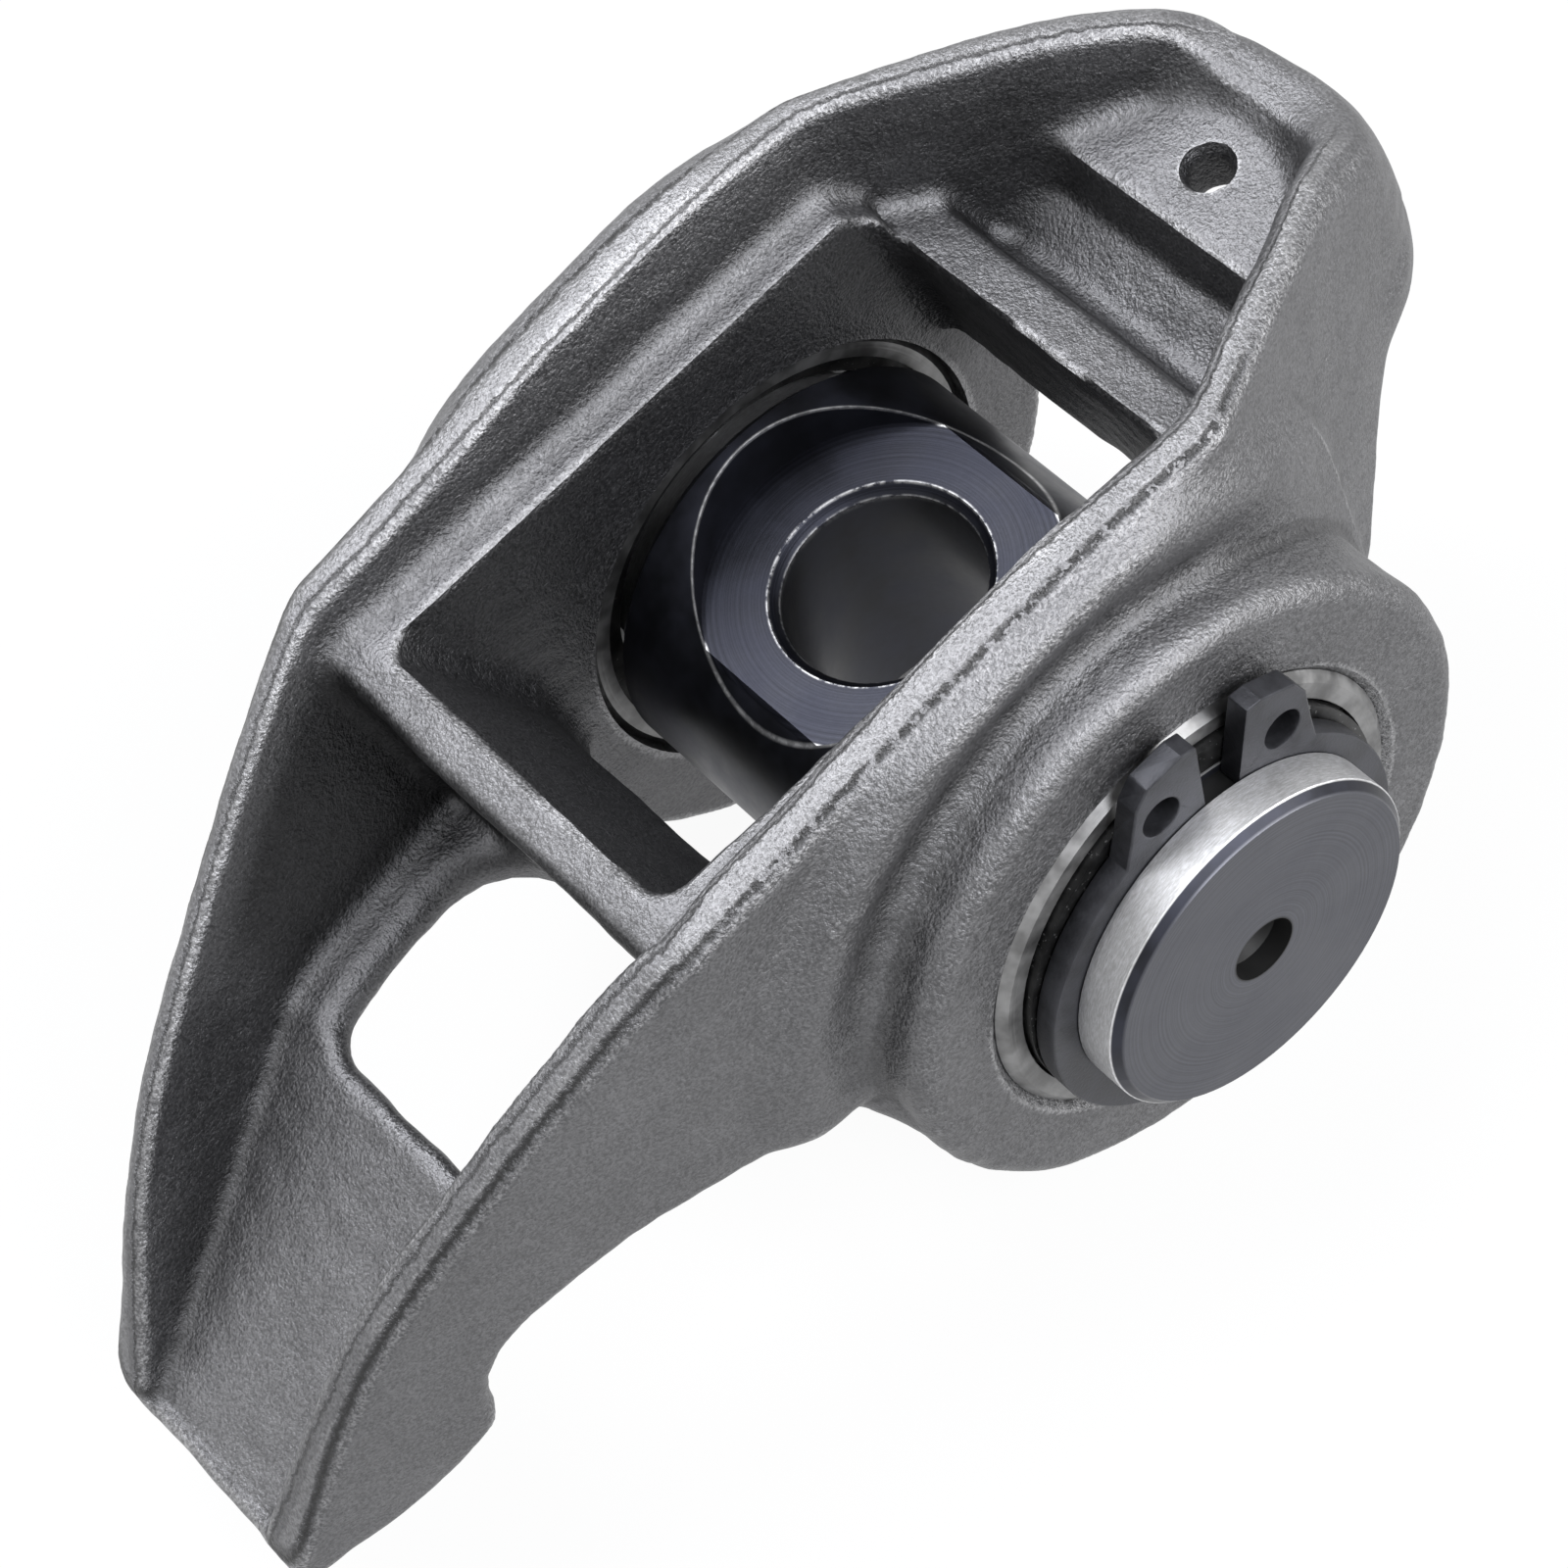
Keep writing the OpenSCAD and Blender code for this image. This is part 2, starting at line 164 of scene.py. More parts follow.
def tangent_point(point, radius):
    """Where a line from the point touches the circle of that radius round the pushrod cup."""
    du, dv = point[0] - CUP_X, point[1]
    angle = math.atan2(dv, du) + math.acos(radius / math.hypot(du, dv))
    return CUP_X + radius * math.cos(angle), radius * math.sin(angle)


def end_arc(radius, start, steps=12):
    """Half the round pushrod end, from its far point forward to the angle at start."""
    last = math.atan2(start[1], start[0] - CUP_X)
    angles = np.linspace(math.pi, last, steps)
    return [(CUP_X + radius * math.cos(a), radius * math.sin(a), 0) for a in angles]


def outer_plan():
    """The outside of the side walls and the pushrod end, from above."""
    rear = (REAR_BEND[0], REAR_BEND[1] + WALL)
    bends = [(*rear, 4), (FRONT_BEND[0], FRONT_BEND[1] + WALL, 2.5), (TIP_X, TIP_HALF + WALL, 1.2)]
    return eased(both_sides(end_arc(END_R, tangent_point(rear, END_R)) + bends))


def inner_plan():
    """The inside of the side walls, from above. It runs out past the open tip."""
    slope = (TIP_HALF - FRONT_BEND[1]) / (TIP_X - FRONT_BEND[0])
    bends = [(*REAR_BEND, 6), (*FRONT_BEND, 3), (48, FRONT_BEND[1] + slope * (48 - FRONT_BEND[0]), 0)]
    return eased(both_sides(end_arc(INNER_END_R, tangent_point(REAR_BEND, INNER_END_R)) + bends))


# The side view: the crest over the trunnion, its fall to the tip, and the underside before and behind
REAR_CREST = smooth_path([
    (-26, 7), (-25, 10.6), (-23, 13.3), (-19.4, 15.4), (-14.5, 16.45), (-8, 17.1), (-2, 17.25), (6, 16.7),
    (12, 16), (16, 15.5)])
TIP_CREST = smooth_path([
    (17.4, 15.15), (20.8, 13.4), (26.5, 9.7), (32.8, 5), (36.5, 1), (39.85, -3.8), (42.8, -8.1)])
CREST = REAR_CREST + TIP_CREST
HEEL = smooth_path([(31.5, -4.2), (31, -2.1), (29.6, -0.4), (27.4, 0.5), (23.7, 1.2), (18, 0.8)])
REAR_UNDERSIDE = smooth_path([
    (-13, -3), (-15.3, -1.9), (-16.9, 0.1), (-18.7, 2), (-20.6, 3.3), (-23, 4.3), (-26, 6)])
SIDE = CREST + [(42.8, -20), (31.5, -20)] + HEEL + [(13, 0.4), (-11, 0.4)] + REAR_UNDERSIDE
OUTER_PLAN = outer_plan()
INNER_PLAN = inner_plan()

# Floor of the open channel, seen from the side: pad, pocket, rear web, ledges, front web, tip floor
FLOOR = eased([
    (-25.2, 30, 0), (-25.2, 13.3, 0), (-23.6, 12.5, 0), (-21.6, 11.5, 3), (-16.4, 11.4, 0.4),
    (-15.9, 9.1, 0.9), (-13, 7.2, 0.9), (-11.9, 10.6, 0.7), (-9.7, 11.2, 0.3), (-9.4, 12.2, 0.3),
    (-8.2, 13.4, 0.8), (15.9, 13.5, 0.4), (17.45, 12.95, 0.8), (16.2, 2.8, 0.8), (24.6, 2.8, 0.6),
    (26.6, 2.4, 1.5), (40.6, -6.6, 0.5), (41.6, -6.75, 0), (43.5, -8.2, 0), (43.5, 30, 0)])
WINDOW = eased([
    (-9.7, 30, 0), (-9.7, 10, 0.8), (-10.3, 4.2, 0.4), (-10.3, -20, 0), (16, -20, 0), (16, -0.8, 0),
    (11.5, -0.3, 0.8), (12.1, 5, 0.8), (15.6, 13.6, 0.5), (15.6, 30, 0)])
TIP_WINDOW = eased([
    (26.55, -5, 1.8), (26.55, 5, 1.8), (15.95, 6.75, 3.6), (15.95, -6.75, 3.6)], 8)
REAR_HOLLOW = [(-16.6, -6.1), (-16.6, 6.1), (-13.2, 8.29), (10, 8.29), (10, -8.29), (-13.2, -8.29)]
SKIRT = [(12.4, 8.0), (12.4, 14.2)] + smooth_path(
    [(13.4, 14), (14.0, 13.15), (14.8, 12.9), (16.1, 13.35), (17.1, 13.0), (17.8, 11.8)], 4) + [(17.8, 8.0)]
SKIRT_REACH = [(-14, 8.0), (-14, 10.6), (-6.5, 14.5), (12, 14.5), (18.5, 11.8), (18.5, 8.0)]

rng = np.random.default_rng(704)
RIPPLE_SIZES = [(9.0, 0.014)] * 5 + [(3.5, 0.008)] * 7 + [(1.5, 0.005)] * 8
RIPPLES = [(rng.normal(size=3), rng.uniform(0, 2 * math.pi), length, height) for length, height in RIPPLE_SIZES]
RIPPLES = [(way / np.linalg.norm(way) * 2 * math.pi / length, phase, height)
           for way, phase, length, height in RIPPLES]


def unevenness(x, y, z):
    """How far the as-cast skin stands proud of its drawing."""
    total = np.float32(0)
    for way, phase, height in RIPPLES:
        total = total + height * np.sin(way[0] * x + way[1] * y + way[2] * z + phase)
    return total


def rise(x, start, end):
    """A smooth step from 0 at start to 1 at end."""
    t = np.clip((x - start) / (end - start), 0, 1)
    return t * t * (3 - 2 * t)


def outer_wall(x, across):
    return outline_form(OUTER_PLAN, x, across)


def side_view(x, z):
    """The arm's side view, with the heel and end of its crowned valve pad rounded off."""
    crown = np.hypot(x - CROWN_X, z - CROWN_Z) - CROWN_R
    above_pad = np.minimum(-3.4 - z, x - 30.8)
    return shared(outline_form(SIDE, x, z), np.minimum(crown, above_pad), 0.7)


def inner_wall(x, across, z):
    """The space between the side walls, which lean inwards below the rim."""
    rim_z = 15.5 - np.maximum(x - 14, 0) * TIP_FALL
    return (outline_form(INNER_PLAN, x, across) + DRAFT * np.clip(rim_z - z, -2, 12)) * 0.97


def on_far_side(y):
    """1 on the far side wall and 0 on the near one, whose rims are trimmed differently."""
    return rise(y, -1.5, -4.0)


def side_walls(x, y, side):
    """Both side walls and the round end between them, with their rims rounded."""
    far = on_far_side(y)
    rim_r = RIM_R + (0.9 - 0.7 * far) * rise(x, -15.5, -21.5) - 0.5 * rise(x, 39.0, 41.0)
    thinner = 0.15 * far * rise(x, 15, 20) * rise(x, 38, 34)
    return shared(outer_wall(x, np.abs(y)) + thinner, side, rim_r)


def skirts(x, y, z, side):
    """The soft ridge round each boss, which runs out into the side wall."""
    across = np.abs(y)
    ridge_r = np.hypot(x, z) - 0.45 * on_far_side(y) * rise(z, 2, 9)
    ridge = shared(outline_form(SKIRT, ridge_r, across), side, 1.2)
    return shared(ridge, outline_form(SKIRT_REACH, x, across), 1.5)


def bosses(x, across, z):
    """The two bearing bosses, a little fuller towards the rear and top."""
    boss_r = BOSS_R + 0.25 * rise(z - x, 2, 14)
    return shared(np.hypot(x, z) - boss_r, np.maximum(BOSS_ROOT - across, across - BOSS_FACE), 0.95)


def opened_space(x, y, z):
    """The channel, the trunnion's window with the hollow behind it, and the window near the tip."""
    across = np.abs(y)
    floor_fillet = 1.0 - 0.35 * rise(x, 24, 28) + 2.2 * rise(x, -19.5, -22.3)
    thicker = 0.27 * rise(x, 15.5, 18.5) * rise(y, 0, 2)
    channel = shared(inner_wall(x, across, z) + thicker, outline_form(FLOOR, x, z), floor_fillet)
    window = shared(across - BOSS_INNER, outline_form(WINDOW, x, z), 1.3)
    hollow = np.maximum(outline_form(REAR_HOLLOW, x, across), z - HOLLOW_TOP)
    tip_window = shared(outline_form(TIP_WINDOW, x, across), np.maximum(z - 4, -4 - z), 0.3)
    channel = join(channel, np.minimum(window, hollow), 0.3)
    return join(channel, tip_window, 1.2)


def pushrod_openings(x, across, z):
    """The ball seat, its mouth below and the oil hole that leads up to the pad."""
    cup_r = np.hypot(x - CUP_X, across)
    ball = np.sqrt((x - CUP_X) ** 2 + across ** 2 + (z - SEAT_Z) ** 2) - BALL_R
    mouth = np.maximum((cup_r - 6.9 + (z - 0.4) * 0.567) * 0.87, z - 5.6)
    oil_hole = np.maximum(cup_r - OIL_R - 0.2 * rise(z, 11.0, 11.4), 6 - z)
    return np.minimum(np.minimum(ball, mouth), oil_hole)


def casting_form(x, y, z):
    """The whole casting, with everything cut out of it."""
    across = np.abs(y)
    pivot_r = np.hypot(x, z)
    far = on_far_side(y)
    side = side_view(x, z) + 0.3 * far * rise(x, -23.4, -23.7)
    body = join(side_walls(x, y, side), skirts(x, y, z, side), 1.0)
    boss_fillet = 0.3 + 2.4 * rise(x, 10.0, 12.0) * rise(z, 1.5, -0.5)
    body = join(body, bosses(x, across, z), boss_fillet)
    edge_r = 0.35 + 0.2 * rise(side, -2.0, -1.0) + (0.8 - 0.6 * far) * rise(x, -12.5, -16.5)
    body = cut(body, opened_space(x, y, z), edge_r + 1.7 * rise(x, -21.0, -23.2))
    barrel = shared(np.hypot(x - CUP_X, across) - END_R + 0.05, np.maximum(3.4 - z, z - 6.5), 1.2)
    body = join(body, barrel, 0.6)
    body = body - unevenness(x, y, z) * rise(pivot_r, POCKET_R + 0.2, POCKET_R + 1.5)
    bearing_bore = pivot_r - POCKET_R - np.maximum(across - BOSS_FACE + LEAD_IN, 0)
    body = np.maximum(body, -bearing_bore)
    return np.maximum(body, -pushrod_openings(x, across, z))


def surface_mesh(form, low, high, pitch):
    """Vertices and four-sided faces of a form's surface, with a vertex on each crease and corner."""
    counts = [int(math.ceil((h - l) / pitch)) + 1 for l, h in zip(low, high)]
    x, y, z = [(l + pitch * np.arange(n)).astype(np.float32) for l, n in zip(low, counts)]
    field = form(x[:, None, None], y[None, :, None], z[None, None, :])
    axes = [x, y, z]
    cells = [n - 1 for n in counts]
    crossings = []
    for axis in range(3):
        ahead = np.moveaxis(field, axis, 0)[1:]
        behind = np.moveaxis(field, axis, 0)[:-1]
        crossed = np.moveaxis((ahead < 0) != (behind < 0), 0, axis)
        at = np.argwhere(crossed)
        inner = np.ones(len(at), bool)
        for other in range(3):
            if other != axis:
                inner &= (at[:, other] > 0) & (at[:, other] < cells[other])
        at = at[inner]
        step = np.zeros(3, int)
        step[axis] = 1
        start = field[tuple(at.T)]
        end = field[tuple((at + step).T)]
        place = np.stack([axes[k][at[:, k]] for k in range(3)], 1).astype(float)
        place[:, axis] += pitch * start / (start - end)
        crossings.append((axis, at, start < 0, place))
    places = np.vstack([c[3] for c in crossings])
    reach = 0.02
    ways = reach * np.eye(3)
    slope = np.stack([form(*(places + way).T) - form(*(places - way).T) for way in ways], 1)
    slope /= np.maximum(np.linalg.norm(slope, axis=1, keepdims=True), 1e-9)
    corners = []
    for axis, at, _, _ in crossings:
        first, second = [k for k in range(3) if k != axis]
        around = []
        for a, b in [(0, 0), (1, 0), (1, 1), (0, 1)]:
            cell = at.copy()
            cell[:, first] -= a
            cell[:, second] -= b
            around.append(np.ravel_multi_index(cell.T, cells))
        corners.append(np.stack(around, 1))
    cell_of = np.vstack(corners)
    used, local = np.unique(cell_of, return_inverse=True)
    local = local.reshape(cell_of.shape)
    members = local.ravel()
    owner = np.repeat(np.arange(len(places)), 4)

    def gather(values):
        return np.bincount(members, weights=values[owner], minlength=len(used))

    count = gather(np.ones(len(places)))
    centre = np.stack([gather(places[:, k]) / count for k in range(3)], 1)
    offset = np.einsum("ij,ij->i", slope, places)
    normal_matrix = np.zeros((len(used), 3, 3))
    target = np.zeros((len(used), 3))
    for a in range(3):
        target[:, a] = gather(slope[:, a] * offset)
        for b in range(3):
            normal_matrix[:, a, b] = gather(slope[:, a] * slope[:, b])
    target -= np.einsum("iab,ib->ia", normal_matrix, centre)
    normal_matrix += 0.08 * np.eye(3)
    shift = np.linalg.solve(normal_matrix, target[:, :, None])[:, :, 0]
    vertices = centre + np.clip(shift, -0.6 * pitch, 0.6 * pitch)
    faces = []
    row = 0
    for axis, at, starts_inside, _ in crossings:
        quad = local[row:row + len(at)]
        row += len(at)
        flip = starts_inside if axis != 1 else ~starts_inside
        quad = np.where(flip[:, None], quad, quad[:, ::-1])
        faces.append(quad)
    return vertices, np.vstack(faces)


def mesh_object(name, vertices, faces):
    """A mesh from millimetre coordinates."""
    mesh = bpy.data.meshes.new(name)
    mesh.vertices.add(len(vertices))
    mesh.vertices.foreach_set("co", (vertices * MM).astype(np.float32).ravel())
    mesh.loops.add(faces.size)
    mesh.loops.foreach_set("vertex_index", faces.astype(np.int32).ravel())
    mesh.polygons.add(len(faces))
    mesh.polygons.foreach_set("loop_start", np.arange(0, faces.size, faces.shape[1], dtype=np.int32))
    mesh.update(calc_edges=True)
    mesh.validate()
    piece = bpy.data.objects.new(name, mesh)
    bpy.context.scene.collection.objects.link(piece)
    return piece


def apply_modifiers(piece):
    """Puts the result of the piece's modifiers in its mesh."""
    graph = bpy.context.evaluated_depsgraph_get()
    mesh = bpy.data.meshes.new_from_object(piece.evaluated_get(graph))
    piece.modifiers.clear()
    piece.data = mesh


def spread(piece, name, values):
    """Stores one number per vertex for the piece's material to read."""
    attribute = piece.data.attributes.new(name, "FLOAT", "POINT")
    attribute.data.foreach_set("value", values.astype(np.float32))


def arm_casting():
    """The casting, with what its material has to know of each point: rims, edges and the places inside the
    channel that get painted shade.
    """
    vertices, faces = surface_mesh(casting_form, GRID_LOW, GRID_HIGH, GRID_PITCH)
    vertices = np.clip(vertices, np.array(cad_box[0]) / MM, np.array(cad_box[1]) / MM)
    piece = mesh_object("cast_arm", vertices, faces)
    thin = piece.modifiers.new("thin", "DECIMATE")
    thin.ratio = min(1.0, MOST_FACES / len(faces))
    apply_modifiers(piece)
    mesh = piece.data
    mesh.shade_smooth()
    mesh.set_sharp_from_angle(angle=math.radians(38))
    points = np.empty(len(mesh.vertices) * 3, np.float32)
    mesh.vertices.foreach_get("co", points)
    x, y, z = (points.reshape(-1, 3) / MM).T.astype(float)
    side = side_view(x, z)
    outside = outer_wall(x, np.abs(y))
    inside = -inner_wall(x, np.abs(y), z)
    spread(piece, "outside_crest", np.clip(outside - side, -4, 4))
    spread(piece, "inside_crest", np.clip(inside - side, -4, 4))
    # Where inside the channel the material paints shade
    spread(piece, "channel_shade_mask", rise(outside, -0.8, -1.5) * rise(side, -0.6, -2.5))
    upper = rise(z - np.interp(x, *np.array(CREST).T), -4.0, -3.0) * rise(x, -23.6, -21.5)
    spread(piece, "near_outside", rise(np.maximum(outside, side), -0.9, -0.4) * upper)
    spread(piece, "near_inside", rise(np.maximum(inside, side), -0.9, -0.4) * upper)
    reach = 0.45
    bend = -6 * casting_form(x, y, z)
    for way in np.eye(3) * reach:
        bend = bend + casting_form(x + way[0], y + way[1], z + way[2])
        bend = bend + casting_form(x - way[0], y - way[1], z - way[2])
    spread(piece, "bend", np.clip(bend / reach ** 2, -3, 3))
    return piece


# Materials

class Wire:
    """An output of a node, which can be used in plain arithmetic."""

    def __init__(self, tree, socket):
        self.tree = tree
        self.socket = socket

    def math(self, operation, *others):
        return self.tree.node("ShaderNodeMath", {"operation": operation}, self, *others)

    def __add__(self, other):
        return self.math("ADD", other)

    def __radd__(self, other):
        return self.math("ADD", other)

    def __sub__(self, other):
        return self.math("SUBTRACT", other)

    def __rsub__(self, other):
        return self.tree.node("ShaderNodeMath", {"operation": "SUBTRACT"}, other, self)

    def __mul__(self, other):
        return self.math("MULTIPLY", other)

    def __rmul__(self, other):
        return self.math("MULTIPLY", other)

    def __pow__(self, other):
        return self.math("POWER", other)

    def __abs__(self):
        return self.math("ABSOLUTE")

    def least(self, other):
        return self.math("MINIMUM", other)

    def most(self, other):
        return self.math("MAXIMUM", other)

    def rise(self, start, end, low=0.0, high=1.0):
        """A smooth step from low at start to high at end."""
        settings = {"interpolation_type": "SMOOTHSTEP"}
        return self.tree.node("ShaderNodeMapRange", settings, self, start, end, low, high)

    def band(self, middle, half_width):
        """1 at the middle, falling smoothly to 0 half a width away."""
        return abs(self - middle).rise(half_width, 0.0)


def opaque(colour):
    """A plain colour with its alpha, or a wire as it is."""
    return colour if isinstance(colour, Wire) else (*colour, 1)


class NodeTree:
    """The nodes of a material or world under construction."""

    def __init__(self, tree):
        self.tree = tree

    def link(self, value, socket):
        if isinstance(value, Wire):
            self.tree.links.new(value.socket, socket)
        else:
            socket.default_value = value

    def node(self, kind, settings, *inputs, output=0, **named):
        """Adds a node: its settings first, then the values or links of its sockets."""
        node = self.tree.nodes.new(kind)
        for key, value in settings.items():
            setattr(node, key, value)
        for socket, value in zip(node.inputs, inputs):
            self.link(value, socket)
        for key, value in named.items():
            self.link(value, node.inputs[key])
        return Wire(self, node.outputs[output])

    def seen_directly(self, share):
        """The share of plain white that the camera, reflections and clear pieces see."""
        camera = self.node("ShaderNodeLightPath", {}, output="Is Camera Ray")
        glossy = self.node("ShaderNodeLightPath", {}, output="Is Glossy Ray")
        clear = self.node("ShaderNodeLightPath", {}, output="Is Transmission Ray")
        return camera.most(glossy).most(clear) * share


class Finish(NodeTree):
    """A material under construction. Its lengths are in millimetres of the piece's own frame."""

    def __init__(self, name):
        self.material = bpy.data.materials.new(name)
        self.material.use_nodes = True
        super().__init__(self.material.node_tree)
        coordinates = self.node("ShaderNodeTexCoord", {}, output="Object")
        self.place = self.node("ShaderNodeVectorMath", {"operation": "SCALE"}, coordinates, Scale=1 / MM)
        self.x, self.y, self.z = [self.part_of(self.place, axis) for axis in "XYZ"]

    def part_of(self, vector, axis):
        """One of a vector's three numbers."""
        return self.node("ShaderNodeSeparateXYZ", {}, vector, output=axis)

    def noise(self, size, detail=2.0, roughness=0.5, place=None):
        """Cloudy noise from 0 to 1 with features of that size."""
        return self.node("ShaderNodeTexNoise", {}, Vector=place or self.place, Scale=1 / size, Detail=detail,
                         Roughness=roughness)

    def stretched(self, x, y, z):
        """The place with each direction scaled, for streaks and turning marks."""
        return self.node("ShaderNodeVectorMath", {"operation": "MULTIPLY"}, self.place, (x, y, z))

    def rings(self, radius):
        """The place to take noise from that only changes with the radius."""
        return self.node("ShaderNodeCombineXYZ", {}, radius, 0.0, 0.0)

    def attribute(self, name):
        return self.node("ShaderNodeAttribute", {"attribute_name": name}, output="Fac")

    def mix(self, share, first, second):
        """A colour between two colours."""
        mixed = self.node("ShaderNodeMix", {"data_type": "RGBA"}, share, output=2)
        for index, colour in [(6, first), (7, second)]:
            self.link(opaque(colour), mixed.socket.node.inputs[index])
        return mixed

    def radius(self, first, second):
        return (first * first + second * second) ** 0.5

    def finish(self, colour, metallic, roughness, height, depth):
        """Connects the surface. Height runs from 0 to 1 over depth millimetres."""
        inputs = self.tree.nodes["Principled BSDF"].inputs
        self.link(opaque(colour), inputs["Base Color"])
        self.link(metallic, inputs["Metallic"])
        self.link(roughness, inputs["Roughness"])
        bump = self.node("ShaderNodeBump", {}, Height=height, Distance=depth * MM, Strength=1.0)
        self.link(bump, inputs["Normal"])
        return self.material


def grey(value, blue=0.0):
    return (value * (1 - blue * 0.5), value * (1 - blue * 0.3), value * (1 + blue))


def cast_steel():
    m = Finish("as_cast_steel")
    grain = m.noise(0.14, 2.0, 0.65)
    pebble = m.noise(0.36, 2.0, 0.6)
    blotch = m.noise(0.9, 3.0, 0.6)
    cloud = m.noise(4.0, 3.0, 0.55)
    ragged = m.noise(0.5, 4.0, 0.7) - 0.5
    dashes = m.noise(0.42, 3.0, 0.65).rise(0.44, 0.54)
    towards_tip = m.x.rise(13.0, 17.0)

    # Edges are rubbed bright, and creases and hollows are darkened with painted shade
    bend = m.attribute("bend")
    rubbed = (bend + (grain - 0.5) * 2.0 + (blotch - 0.5) * 1.2).rise(1.1, 2.6)
    # Painted shade: darker where the surface curves inwards
    hollow = ((cloud - 0.5) * 0.6 - bend).rise(0.4, 1.8)

    # Painted shade: faces that stand upright are darkened, those inside the channel more, and the web's front
    # face and the strips beside the tip window most
    channel_shade_mask = m.attribute("channel_shade_mask")
    steep_shade = m.part_of(m.node("ShaderNodeTexCoord", {}, output="Normal"), "Z").rise(0.9, 0.5)
    upright_channel_shade = channel_shade_mask * steep_shade
    web_face_shade = upright_channel_shade * m.x.band(16.8, 1.8)
    beside_window_shade = channel_shade_mask * m.x.rise(28.5, 25.0) * m.x.rise(16.5, 18.0) * abs(m.y).rise(4.0, 5.2)
    shade = grain.rise(0.3, 0.7, 0.135, 0.24) * cloud.rise(0.2, 0.8, 0.92, 1.08)
    # Painted shade from the hollows, the upright faces, the channel, the web's front face and the strips beside
    # the tip window
    shade = shade * (1 - hollow * 0.35) * (1 - steep_shade * 0.3 - upright_channel_shade * 0.24)
    shade = shade * (1 - web_face_shade * 0.55) * (1 - beside_window_shade * 0.5)

    # Along the trimmed rims lie a bright strip, pitting and torn metal outside it, and a step inside it. The
    # strip and the lip inside it are painted highlight on the trimmed metal, and the pitting and the step get
    # painted shade
    outside = m.attribute("outside_crest") + ragged * 0.5
    inside = m.attribute("inside_crest") + ragged * 0.6
    near_outside = m.attribute("near_outside")
    near_inside = m.attribute("near_inside")
    # Painted highlight: the strip along the crest, and the lip below it on the inside
    strip = (inside + towards_tip * 0.4).rise(-0.32, -0.5) * outside.rise(-0.35, -0.5)
    trimmed = strip * near_outside * near_inside
    # Painted shade with the pitting and the step, which the bump also presses in
    pits_and_shade = outside.band(-0.12, 0.36) * near_outside * dashes.most(towards_tip) * m.x.rise(-15.0, -10.0)
    torn = outside.band(0.4, 0.35) * near_outside * grain.rise(0.4, 0.6)
    step = inside.band(-0.38, 0.14) * near_inside
    lip = inside.band(0.1, 0.5) * near_inside * grain.rise(0.45, 0.62)

    base = m.node("ShaderNodeCombineColor", {}, shade * 0.985, shade * 0.985, shade * 1.02)
    # A lighter colour for rubbed and torn metal, and for the painted highlight on the crest
    worn = grain.rise(0.25, 0.75, 0.2, 0.46)
    wear_and_highlight_colour = m.node("ShaderNodeCombineColor", {}, worn, worn, worn * 1.02)
    # Rubbed wear, held down where the channel gets painted shade, with the painted highlight of the crest strip
    # and its lip, and torn metal
    bright = (rubbed * (1 - upright_channel_shade * 0.7) * 0.5 + trimmed * 0.28 + torn * 0.25 + lip * 0.2).least(1.0)
    colour = m.mix(bright, base, wear_and_highlight_colour)
    # Painted shade in the pitting and along the step
    colour = m.mix((pits_and_shade * 0.85 + step * 0.6).least(0.9), colour, grey(0.03))
    height = grain * 0.45 + pebble * 0.4 + blotch * 0.35 - pits_and_shade * 1.1 - step * 0.6
    rough = grain.rise(0.2, 0.8, 0.38, 0.54) - bright * 0.06
    return m.finish(colour, 0.9, rough, height, 0.15)


# Places on the trunnion, in millimetres from the pivot axis, the middle plane or the bolt's axis
JOURNAL_R = 7.25
GROOVE_R = 6.94
GROOVE = (15.85, 17.15)
BLOCK_HALF = 8.15
BLOCK_R = 8.8
CHAMFER = 18.75
END_FACE = 19.04
CENTRE_HOLE_R = 1.45
SPOTFACE_Z = 6.26
SPOTFACE_R = 7.12
BOLT_R = 4.1
CHAMFER_R = 4.5


